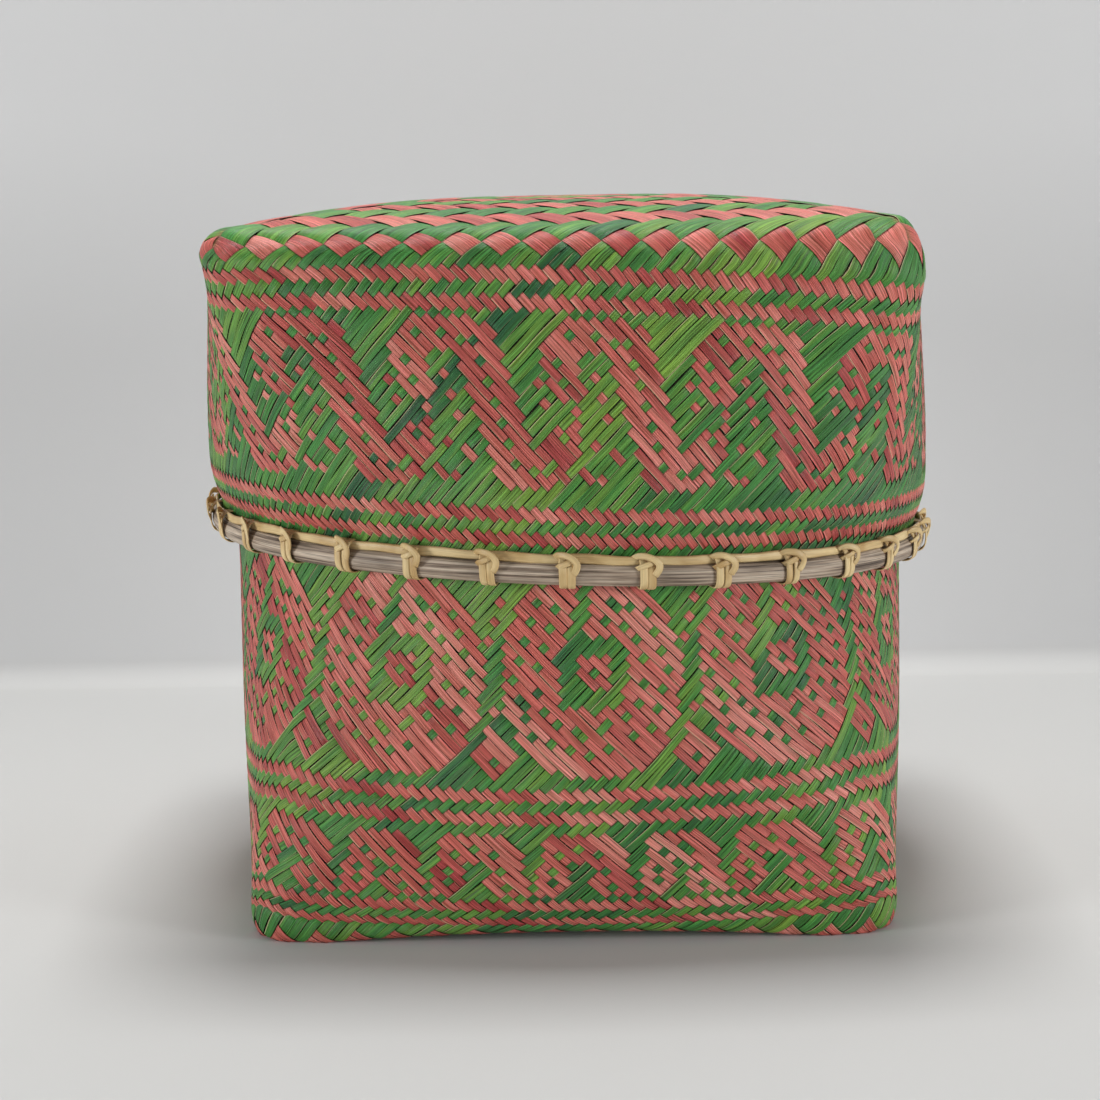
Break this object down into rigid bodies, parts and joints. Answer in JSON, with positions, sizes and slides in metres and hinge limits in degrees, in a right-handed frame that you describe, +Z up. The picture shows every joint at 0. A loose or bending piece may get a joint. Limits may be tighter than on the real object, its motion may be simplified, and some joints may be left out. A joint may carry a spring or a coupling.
{
  "type": "woven bamboo box",
  "caption": "Square plaited bamboo box with a deep lift-off lid: green and pink weave, plain lining and hoops lashed with split rattan at both rims.",
  "frame": {"origin": "on the floor under the middle of the box", "axes": "+Z up, the way the lid lifts; -Y is the front face, +X its right side, where the lid's rim sits lowest"},
  "size_m": [0.256, 0.256, 0.2395],
  "materials": {
    "dyed_bamboo": "split bamboo strips dyed green and pink, satin, fibres along each strip",
    "plain_bamboo": "undyed split bamboo strips, satin",
    "hoop_bamboo": "half-round split bamboo, grey-brown and streaked along its length",
    "rattan_strand": "pale split rattan, smooth satin"
  },
  "bodies": {
    "base": {"base_weave": "dyed_bamboo", "base_lining": "plain_bamboo", "base_outer_hoop": "hoop_bamboo", "base_inner_hoop": "hoop_bamboo", "base_lashing": "rattan_strand"},
    "lid": {"lid_weave": "dyed_bamboo", "lid_lining": "plain_bamboo", "lid_outer_hoop": "hoop_bamboo", "lid_inner_hoop": "hoop_bamboo", "lid_lashing": "rattan_strand"}
  },
  "joints": [
    {"name": "lid_lift", "type": "slide", "parent": "base", "child": "lid", "axis": [0, 0, 1], "range_m": [0, 0.15]}
  ]
}
